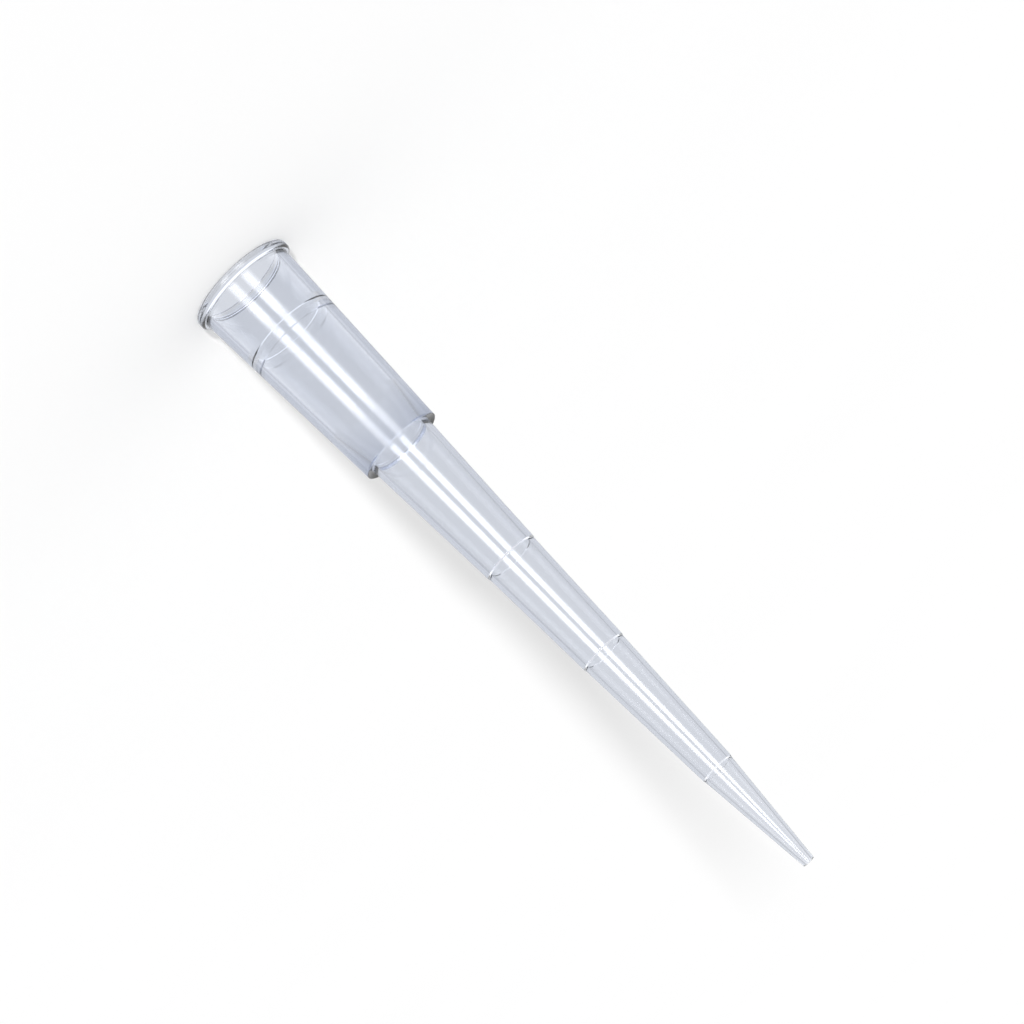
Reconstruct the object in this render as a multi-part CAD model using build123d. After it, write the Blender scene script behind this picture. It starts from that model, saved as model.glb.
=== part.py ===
from build123d import *
import os

# Graduated pipette tip for up to 200 microlitres, moulded in one piece from clear polypropylene.
# It stands on its open mouth with the orifice at the top. Millimetres, Z along the axis, and the
# origin at the centre of the mouth. Heights are from the mouth, and radii from the axis.

# Lip, the thick rounded collar round the mouth
lip_overhang = 0.32
lip_thickness = 0.62
lip_edge_radius = 0.22

# Hub, the wide part that is pushed onto the pipette
hub_length = 14.87
hub_radius_at_lip = 3.40
hub_radius_at_end = 2.84
hub_wall = 0.53

# Lead-in, the funnel that guides the pipette's nozzle through the mouth
lead_in_depth = 0.60
lead_in_width = 0.33

# Wiper, a fine ridge inside the hub that the pipette's nozzle meets first
wiper_height = 4.135
wiper_ramp_length = 0.33
wiper_proud = 0.05

# Sealing band, a low raised ring above the wiper, with a straight land that grips the nozzle
seal_gap = 0.025
seal_ramp_length = 0.22
seal_land_length = 0.375
seal_proud = 0.065

# Back of the wiper and of the sealing band, a short slope out to the hub's inner wall
ridge_back_length = 0.11

# Funnel, where the hub's inner wall draws in from a knee to a fine ridge at the body's bore
knee_height = 11.65
funnel_top_depth = 0.16
throat_proud = 0.04
throat_back_length = 0.10

# Shoulder, the step from the hub down to the body, with a fine rim that stands past its face
shoulder_width = 0.48
shoulder_rim_height = 0.15

# Body, four tapered stages that a fine step parts at each graduation ring
upper_stage_length = 10.03
middle_stage_length = 8.25
lower_stage_length = 10.05
nozzle_length = 7.95
ring_100_radius = 1.935
ring_50_radius = 1.620
ring_10_radius = 1.160
orifice_outer_radius = 0.41
ring_step = 0.045
ring_bevel = 0.08

# Body wall at the shoulder, at each ring and at the orifice
shoulder_wall = 0.36
ring_100_wall = 0.37
ring_50_wall = 0.32
ring_10_wall = 0.26
orifice_wall = 0.18


def hub_bore_radius(height):
    """The hub's inner wall runs parallel to its outer wall, down to the knee."""
    fall = (hub_radius_at_lip - hub_radius_at_end) / (hub_length - lip_thickness)
    return hub_radius_at_lip - fall * (height - lip_thickness) - hub_wall


def graduation(height, radius):
    """A stage's outer edge at a ring: out to the ring, then a bevelled step down to the next stage."""
    return [(radius, height), (radius - ring_step, height + ring_bevel)]


lip_radius = hub_radius_at_lip + lip_overhang
shoulder_face_height = hub_length - shoulder_rim_height
body_root_radius = hub_radius_at_end - shoulder_width
ring_100_height = shoulder_face_height + upper_stage_length
ring_50_height = ring_100_height + middle_stage_length
ring_10_height = ring_50_height + lower_stage_length
tip_length = ring_10_height + nozzle_length

wiper_crest = wiper_height + wiper_ramp_length
wiper_end = wiper_crest + ridge_back_length
seal_height = wiper_end + seal_gap
land_start = seal_height + seal_ramp_length
land_end = land_start + seal_land_length
seal_end = land_end + ridge_back_length
seal_radius = hub_bore_radius(land_start) - seal_proud
throat_height = shoulder_face_height - funnel_top_depth
throat_radius = body_root_radius - shoulder_wall

outside = [
    (lip_radius, 0),
    (lip_radius, lip_thickness),
    (hub_radius_at_lip, lip_thickness),
    (hub_radius_at_end, hub_length),
    (body_root_radius, shoulder_face_height),
    *graduation(ring_100_height, ring_100_radius),
    *graduation(ring_50_height, ring_50_radius),
    *graduation(ring_10_height, ring_10_radius),
    (orifice_outer_radius, tip_length),
]

inside = [
    (hub_bore_radius(lead_in_depth) + lead_in_width, 0),
    (hub_bore_radius(lead_in_depth), lead_in_depth),
    (hub_bore_radius(wiper_height), wiper_height),
    (hub_bore_radius(wiper_crest) - wiper_proud, wiper_crest),
    (hub_bore_radius(wiper_end), wiper_end),
    (hub_bore_radius(seal_height), seal_height),
    (seal_radius, land_start),
    (seal_radius, land_end),
    (hub_bore_radius(seal_end), seal_end),
    (hub_bore_radius(knee_height), knee_height),
    (throat_radius - throat_proud, throat_height),
    (throat_radius, throat_height + throat_back_length),
    (ring_100_radius - ring_100_wall, ring_100_height),
    (ring_50_radius - ring_50_wall, ring_50_height),
    (ring_10_radius - ring_10_wall, ring_10_height),
    (orifice_outer_radius - orifice_wall, tip_length),
]

# One closed half-section, up the outside and back down the bore, is turned about the axis
with BuildPart() as tip:
    with BuildSketch(Plane.XZ):
        with BuildLine():
            Polyline(*outside, *reversed(inside), close=True)
        make_face()
    revolve(axis=Axis.Z)
    lip_edges = tip.edges().filter_by(GeomType.CIRCLE).group_by(SortBy.RADIUS)[-1]
    fillet(lip_edges, min(lip_edge_radius, 0.45 * lip_thickness))

tip.part.label = "tip"
os.makedirs("parts", exist_ok=True)
export_step(tip.part, "parts/tip.step")
print(f"length {tip_length:.2f}  seal radius {seal_radius:.3f} from {land_start:.3f} to {land_end:.3f}")
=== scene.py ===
import math

import bmesh
import bpy
from mathutils import Matrix, Vector


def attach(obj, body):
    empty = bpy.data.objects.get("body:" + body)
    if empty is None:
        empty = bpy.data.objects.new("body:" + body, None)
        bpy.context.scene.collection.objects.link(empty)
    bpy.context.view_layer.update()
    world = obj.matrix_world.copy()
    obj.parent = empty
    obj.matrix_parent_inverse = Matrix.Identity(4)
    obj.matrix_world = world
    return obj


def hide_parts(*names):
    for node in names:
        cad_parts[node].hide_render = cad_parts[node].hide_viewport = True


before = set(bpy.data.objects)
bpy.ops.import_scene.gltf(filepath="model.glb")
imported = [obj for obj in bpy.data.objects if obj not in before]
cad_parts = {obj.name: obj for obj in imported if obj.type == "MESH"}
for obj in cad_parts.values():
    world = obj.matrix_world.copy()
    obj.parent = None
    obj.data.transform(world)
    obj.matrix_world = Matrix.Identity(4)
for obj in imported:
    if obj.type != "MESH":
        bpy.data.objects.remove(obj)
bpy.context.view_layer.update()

# A graduated pipette tip, moulded in one piece from clear polypropylene. It stands on its lip, with
# the orifice at the top, on a pale bench under soft studio light. Sizes are in metres.
MM = 0.001
NODE = "tip"
AXIS = Vector((0, 0, 1))


# ---- The tip's mesh, turned from the section of the CAD part ----

TURN_STEPS = 256                    # faces round the tip

CUT_TOLERANCE = 1e-7
MERGE_DISTANCE = 1e-6
STRAIGHT_TURN = math.radians(0.3)   # a point of the section that turns less is left out

MOULD_EDGE = 0.035 * MM             # the small radius that a polished mould leaves on every edge
EDGE_STEPS = 4                      # faces across that radius
EDGE_SHARE = 0.4                    # the most of a short run that one such radius takes up
CORNER_TURN = math.radians(3)       # a point that turns less lies on a smooth curve, and stays
SHORT_RUN = 0.12 * MM               # so does one that turns less than HARD_TURN beside a shorter run,
HARD_TURN = math.radians(25)        # which is part of an arc already

ROW_GAP = 1.0 * MM                  # height of the faces on a long run
SUPPORT_GAP = 0.03 * MM             # a narrow row at a run's end, which keeps its shading flat
SUPPORTED_RUN = 4 * SUPPORT_GAP     # the shortest run that gets rows
SHORTER_BY = 3                      # an end gets the narrow row where the next run is this much shorter

GRADUATIONS_ABOVE = 20 * MM         # above the shoulder, where the only short slopes are the rings' steps
STEP_LENGTH = 0.2 * MM              # the longest run that is a step
STEP_SLOPES = (math.radians(15), math.radians(60))
STEP_SLACK = 0.01 * MM              # how far past a step's ends its faces may lie, along the tip,
STEP_REACH = 0.1 * MM               # and how far from its middle, across the wall


def cut_section(node):
    """The half-section of a round CAD node as a closed loop of (radius, height) points, which runs up
    the outside from the foot."""
    half = bmesh.new()
    half.from_mesh(node.data)
    everything = half.verts[:] + half.edges[:] + half.faces[:]
    bmesh.ops.bisect_plane(
        half, geom=everything, dist=CUT_TOLERANCE, plane_co=(0, 0, 0), plane_no=(0, 1, 0),
        clear_inner=True, clear_outer=True,
    )
    bmesh.ops.delete(half, geom=[v for v in half.verts if v.co.x < 0], context="VERTS")
    bmesh.ops.remove_doubles(half, verts=half.verts, dist=MERGE_DISTANCE)
    start = min(half.verts, key=lambda v: (v.co.z, -v.co.x))
    edge = min(start.link_edges, key=lambda e: e.other_vert(start).co.z)
    loop = [start.co.xz]
    at = start
    while True:
        edge = next(e for e in at.link_edges if e is not edge)
        at = edge.other_vert(at)
        if at is start:
            break
        loop.append(at.co.xz)
    half.free()
    return loop


def turn_at(points, i):
    """How far a closed outline turns at one of its points."""
    before = points[i] - points[i - 1]
    after = points[(i + 1) % len(points)] - points[i]
    return before.angle(after)


def without_straight_points(points):
    return [p for i, p in enumerate(points) if turn_at(points, i) > STRAIGHT_TURN]


def rounded(points):
    """The outline with each sharp corner turned into a small arc. Points of an arc already there stay."""
    result = []
    for i, corner in enumerate(points):
        back = points[i - 1] - corner
        ahead = points[(i + 1) % len(points)] - corner
        turn = math.pi - back.angle(ahead)
        shortest = min(back.length, ahead.length)
        if turn < CORNER_TURN or (turn < HARD_TURN and shortest < SHORT_RUN):
            result.append(corner)
            continue
        reach = min(MOULD_EDGE * math.tan(turn / 2), EDGE_SHARE * shortest)
        radius = reach / math.tan(turn / 2)
        start = corner + back.normalized() * reach
        inward = (back.normalized() + ahead.normalized()).normalized()
        centre = corner + inward * radius / math.cos(turn / 2)
        spoke = start - centre
        side = math.copysign(1, back.cross(ahead))
        for step in range(EDGE_STEPS + 1):
            angle = side * turn * step / EDGE_STEPS
            result.append(centre + Matrix.Rotation(-angle, 2) @ spoke)
    return result


def with_rows(points):
    """Long runs get a narrow row at an end that meets a short run, and even rows between."""
    result = []
    for i, low in enumerate(points):
        result.append(low)
        run = points[(i + 1) % len(points)] - low
        if run.length < SUPPORTED_RUN:
            continue
        before = (low - points[i - 1]).length
        after = (points[(i + 2) % len(points)] - low - run).length
        start = SUPPORT_GAP / run.length if before < run.length / SHORTER_BY else 0
        end = 1 - SUPPORT_GAP / run.length if after < run.length / SHORTER_BY else 1
        rows = max(1, round(run.length / ROW_GAP))
        places = [start + (end - start) * k / rows for k in range(rows + 1)]
        result += [low + run * place for place in places if 0 < place < 1]
    return result


def graduation_steps(points):
    """The short sloping runs of the section on the body, one at each graduation ring."""
    steps = []
    for i, low in enumerate(points):
        run = points[(i + 1) % len(points)] - low
        slope = math.atan2(abs(run.x), abs(run.y))
        sloping = STEP_SLOPES[0] < slope < STEP_SLOPES[1]
        if sloping and run.length < STEP_LENGTH and low.y > GRADUATIONS_ABOVE:
            steps.append((low, low + run))
    return steps


def on_a_step(point, steps):
    for a, b in steps:
        beside = min(a.y, b.y) - STEP_SLACK < point.y < max(a.y, b.y) + STEP_SLACK
        if beside and abs(point.x - (a.x + b.x) / 2) < STEP_REACH:
            return True
    return False


def turned(name, outline, steps):
    """A mesh object made by turning a closed outline of (radius, height) about the tip's axis. Faces on
    the graduation steps get the second material."""
    count = len(outline)
    corners = []
    for step in range(TURN_STEPS):
        angle = math.tau * step / TURN_STEPS
        corners += [(p.x * math.cos(angle), p.x * math.sin(angle), p.y) for p in outline]
    faces = []
    for step in range(TURN_STEPS):
        here = step * count
        there = (step + 1) % TURN_STEPS * count
        for row in range(count):
            up = (row + 1) % count
            faces.append((here + row, there + row, there + up, here + up))
    mesh = bpy.data.meshes.new(name)
    mesh.from_pydata(corners, [], faces)
    mesh.update()
    mesh.shade_smooth()
    middles = [(outline[row] + outline[(row + 1) % count]) / 2 for row in range(count)]
    satin = [on_a_step(middle, steps) for middle in middles]
    for face in mesh.polygons:
        face.material_index = int(satin[face.index % count])
    piece = bpy.data.objects.new(name, mesh)
    bpy.context.scene.collection.objects.link(piece)
    return piece


# ---- Finishes ----

def linear(code, alpha=1.0):
    """An sRGB hex colour as Blender's linear one."""
    values = [int(code[i:i + 2], 16) / 255 for i in (0, 2, 4)]
    return (*[v / 12.92 if v <= 0.04045 else ((v + 0.055) / 1.055) ** 2.4 for v in values], alpha)


def add(tree, kind, *values, **settings):
    """Adds a node. The values go to its inputs in order, and each setting to its input or property of
    that name. A node or an output socket is linked, and anything else is set."""
    node = tree.nodes.new(kind)
    inputs = dict(enumerate(values))
    for name, value in settings.items():
        if name.replace("_", " ") in node.inputs:
            inputs[name.replace("_", " ")] = value
        else:
            setattr(node, name, value)
    for key, value in inputs.items():
        if isinstance(value, bpy.types.Node):
            value = value.outputs[0]
        if isinstance(value, bpy.types.NodeSocket):
            tree.links.new(value, node.inputs[key])
        else:
            node.inputs[key].default_value = value
    return node


# Clear random-copolymer polypropylene, injection moulded against polished steel. To the eye it is glossy,
# colourless where it is thin, and blue-grey where light goes a long way through it.
PLASTIC_IOR = 1.49                  # typical of polypropylene
PLASTIC_BODY = "9AA8C2"
PLASTIC_DENSITY = 400.0             # per metre, so the colour shows from a few tenths of a millimetre on

# Ripples where the melt cooled as it ran along the mould, each about 3 mm wide and 9 mm long, which make
# the reflections waver a little
RIPPLE = (3 * MM, 3 * MM, 9 * MM)
RIPPLE_DETAIL = 1.0
RIPPLE_STRENGTH = 0.15
RIPPLE_DEPTH = 0.02 * MM

# Polish marks along the draw, which are a few hundredths of a millimetre wide or finer on a real mould.
# They are drawn 0.25 mm wide and 8 mm long, as coarse as they need to show, and make the gloss uneven
MARK = (0.25 * MM, 0.25 * MM, 8 * MM)
MARK_DETAIL = 2.0
MARK_STRENGTH = 0.05
MARK_DEPTH = 0.002 * MM


def clear_polypropylene(name, clarity, smoothest, roughest):
    """The moulded plastic, with its share of clear light and its roughness between two values."""
    material = bpy.data.materials.new(name)
    material.use_nodes = True
    tree = material.node_tree
    tree.nodes.clear()
    place = add(tree, "ShaderNodeTexCoord").outputs["Object"]
    ripple = add(tree, "ShaderNodeMapping", Vector=place, Scale=[1 / size for size in RIPPLE])
    ripple = add(tree, "ShaderNodeTexNoise", Vector=ripple, Scale=1.0, Detail=RIPPLE_DETAIL)
    marks = add(tree, "ShaderNodeMapping", Vector=place, Scale=[1 / size for size in MARK])
    marks = add(tree, "ShaderNodeTexNoise", Vector=marks, Scale=1.0, Detail=MARK_DETAIL)
    skin = add(tree, "ShaderNodeBump", Strength=RIPPLE_STRENGTH, Distance=RIPPLE_DEPTH, Height=ripple)
    skin = add(tree, "ShaderNodeBump", Strength=MARK_STRENGTH, Distance=MARK_DEPTH, Height=marks, Normal=skin)
    gloss = add(tree, "ShaderNodeMapRange", Value=marks, To_Min=smoothest, To_Max=roughest)
    surface = add(
        tree, "ShaderNodeBsdfPrincipled", Base_Color=linear("FFFFFF"), Transmission_Weight=clarity,
        IOR=PLASTIC_IOR, Roughness=gloss, Normal=skin,
    )
    body = add(tree, "ShaderNodeVolumeAbsorption", Color=linear(PLASTIC_BODY), Density=PLASTIC_DENSITY)
    add(tree, "ShaderNodeOutputMaterial", Surface=surface, Volume=body)
    return material


# White bench laminate, pressed with a matt face. To the eye it is plain and pale, with a very slight
# mottle about 40 mm across and no reflections.
LAMINATE_SHADES = ("F4F4F4", "F6F6F6")
LAMINATE_MOTTLE = 40 * MM
LAMINATE_DETAIL = 2.0
LAMINATE_ROUGHNESS = 0.9


def bench_laminate():
    material = bpy.data.materials.new("matt_white_laminate")
    material.use_nodes = True
    tree = material.node_tree
    tree.nodes.clear()
    place = add(tree, "ShaderNodeTexCoord").outputs["Object"]
    mottle = add(tree, "ShaderNodeTexNoise", Vector=place, Scale=1 / LAMINATE_MOTTLE, Detail=LAMINATE_DETAIL)
    darker, lighter = LAMINATE_SHADES
    shade = add(tree, "ShaderNodeMix", data_type="RGBA", Factor=mottle, A=linear(darker), B=linear(lighter))
    surface = add(
        tree, "ShaderNodeBsdfPrincipled", Base_Color=shade.outputs["Result"], Roughness=LAMINATE_ROUGHNESS,
    )
    add(tree, "ShaderNodeOutputMaterial", Surface=surface)
    return material


# ---- The tip ----

section = without_straight_points(cut_section(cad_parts[NODE]))
outline = with_rows(rounded(section))
tip = turned("tip_body", outline, graduation_steps(section))

# The wall is clear. The rings' steps come from cuts in the mould that stay satin, so each ring shows as a
# fine pale line.
wall_finish = clear_polypropylene("moulded_clear_polypropylene", clarity=1.0, smoothest=0.01, roughest=0.05)
step_finish = clear_polypropylene("satin_clear_polypropylene", clarity=0.8, smoothest=0.05, roughest=0.15)
tip.data.materials.append(wall_finish)
tip.data.materials.append(step_finish)
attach(tip, "root")
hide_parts(NODE)


# ---- The bench, the studio and the camera ----

# The bench carries the shadow. It is hidden from the tip's reflections and refractions, so that the
# tip's walls show the room.
BENCH_SIZE = 6.0
bpy.ops.mesh.primitive_plane_add(size=BENCH_SIZE, location=(0, 0, 0))
bench = bpy.context.object
bench.name = "bench"
bench.data.materials.append(bench_laminate())
bench.visible_glossy = False
bench.visible_transmission = False


# The room, by direction: an even wall all round, with soft panels that stand before it, even light above
# it and the light that a bench throws back below it. Heights are sines of the angle above the horizon.
SKY = 0.82
WALL = 0.6
GROUND = 1.5
WALL_TOP = (0.0, 0.1)               # where the wall fades out upwards
WALL_FOOT = (-0.40, -0.46)          # and downwards
PANEL_SOFT = 6                      # degrees on either side of a panel's side edges
PANEL_EDGE = 0.02                   # height on either side of its top and foot

# Each panel is its centre's angle from the camera's side and its half width, in degrees, its lowest and
# highest height, and the light that it adds to the wall's
STRIP = (10, -0.40, 0.05, 5.0)
SIDE = (20, -0.40, -0.20, 1.0)
BACK = (50, -0.40, 0.05, 0.3)
PANELS = ((20, *STRIP), (-20, *STRIP), (105, *SIDE), (-105, *SIDE), (180, *BACK))

# The wall and the light below it are faintly blue, and the light above is white. A panel is whiter the
# stronger its light is, from the first of these two levels to the second.
COOL = "F2F5FB"
WHITE = "FFFFFF"
WHITENING = (0.8, 2.0)
SOFT = {"interpolation_type": "SMOOTHSTEP"}     # every edge of the light fades smoothly


def studio():
    """A world that shines by direction: the wall with its panels, and the light above and below it."""
    world = bpy.data.worlds.new("studio")
    bpy.context.scene.world = world
    world.use_nodes = True
    tree = world.node_tree
    tree.nodes.clear()
    look = add(tree, "ShaderNodeTexCoord").outputs["Generated"]
    parts = add(tree, "ShaderNodeSeparateXYZ", look)
    rise = parts.outputs["Z"]
    ahead = add(tree, "ShaderNodeMath", parts.outputs["Y"], -1, operation="MULTIPLY")
    around = add(tree, "ShaderNodeMath", parts.outputs["X"], ahead, operation="ARCTAN2")

    level = WALL
    for centre, half_width, low, high, light in PANELS:
        off = add(tree, "ShaderNodeMath", around, math.radians(centre), operation="SUBTRACT")
        off = add(tree, "ShaderNodeMath", off, math.pi, -math.pi, operation="WRAP")
        off = add(tree, "ShaderNodeMath", off, operation="ABSOLUTE")
        edge = (math.radians(half_width - PANEL_SOFT), math.radians(half_width + PANEL_SOFT))
        panel = add(tree, "ShaderNodeMapRange", off, *edge, light, 0.0, **SOFT)
        foot = (low - PANEL_EDGE, low + PANEL_EDGE)
        panel = add(tree, "ShaderNodeMapRange", rise, *foot, 0.0, panel, **SOFT)
        top = (high - PANEL_EDGE, high + PANEL_EDGE)
        panel = add(tree, "ShaderNodeMapRange", rise, *top, panel, 0.0, **SOFT)
        level = add(tree, "ShaderNodeMath", panel, level, operation="ADD")

    bright = add(tree, "ShaderNodeMapRange", level, *WHITENING, 0.0, 1.0, **SOFT)
    tint = add(tree, "ShaderNodeMix", data_type="RGBA", Factor=bright, A=linear(COOL), B=linear(WHITE))
    tint = tint.outputs["Result"]
    above = add(tree, "ShaderNodeMapRange", rise, *WALL_TOP, 0.0, 1.0, **SOFT)
    tint = add(tree, "ShaderNodeMix", data_type="RGBA", Factor=above, A=tint, B=linear(WHITE))
    tint = tint.outputs["Result"]
    level = add(tree, "ShaderNodeMapRange", rise, *WALL_TOP, level, SKY, **SOFT)
    level = add(tree, "ShaderNodeMapRange", rise, *WALL_FOOT, level, GROUND, **SOFT)
    glow = add(tree, "ShaderNodeBackground", Color=tint, Strength=level)
    add(tree, "ShaderNodeOutputWorld", Surface=glow)


studio()


# A low lamp beside the camera lays the tip's soft shadow on the bench, to one side behind it
LAMP_SIDE = math.radians(-1)
LAMP_RISE = math.radians(7)
LAMP_STRENGTH = 7.0
LAMP_WIDTH = math.radians(1.5)

lamp_data = bpy.data.lights.new("low_lamp", "SUN")
lamp_data.energy = LAMP_STRENGTH
lamp_data.angle = LAMP_WIDTH
lamp_data.cycles.use_multiple_importance_sampling = False
lamp = bpy.data.objects.new("low_lamp", lamp_data)
bpy.context.scene.collection.objects.link(lamp)
towards_lamp = Vector((math.sin(LAMP_SIDE), -math.cos(LAMP_SIDE), math.tan(LAMP_RISE)))
lamp.rotation_euler = towards_lamp.to_track_quat("Z", "Y").to_euler()


# The camera looks slightly down on the tip, and is rolled so that the tip lies across the view, from its
# mouth at the upper left to its orifice at the lower right
CAMERA_REACH = 290 * MM
CAMERA_HEIGHT = 86 * MM
AIM_HEIGHT = 22.73 * MM
AIM_SIDE = -2.014 * MM
SLOPE = math.radians(45.5)
VIEW_ANGLE = math.radians(12.13)
CLIP_START = 1 * MM

eye = Vector((0, -CAMERA_REACH, CAMERA_HEIGHT))
forward = (Vector((AIM_SIDE, 0, AIM_HEIGHT)) - eye).normalized()
along = (AXIS - forward * AXIS.dot(forward)).normalized()
across = forward.cross(along)
right = along * math.cos(SLOPE) - across * math.sin(SLOPE)
up = -along * math.sin(SLOPE) - across * math.cos(SLOPE)

camera_data = bpy.data.cameras.new("camera")
camera_data.angle = VIEW_ANGLE
camera_data.clip_start = CLIP_START
camera = bpy.data.objects.new("camera", camera_data)
bpy.context.scene.collection.objects.link(camera)
camera.matrix_world = Matrix((right, up, -forward)).transposed().to_4x4()
camera.location = eye
bpy.context.scene.camera = camera
bpy.context.scene.view_settings.view_transform = "Standard"
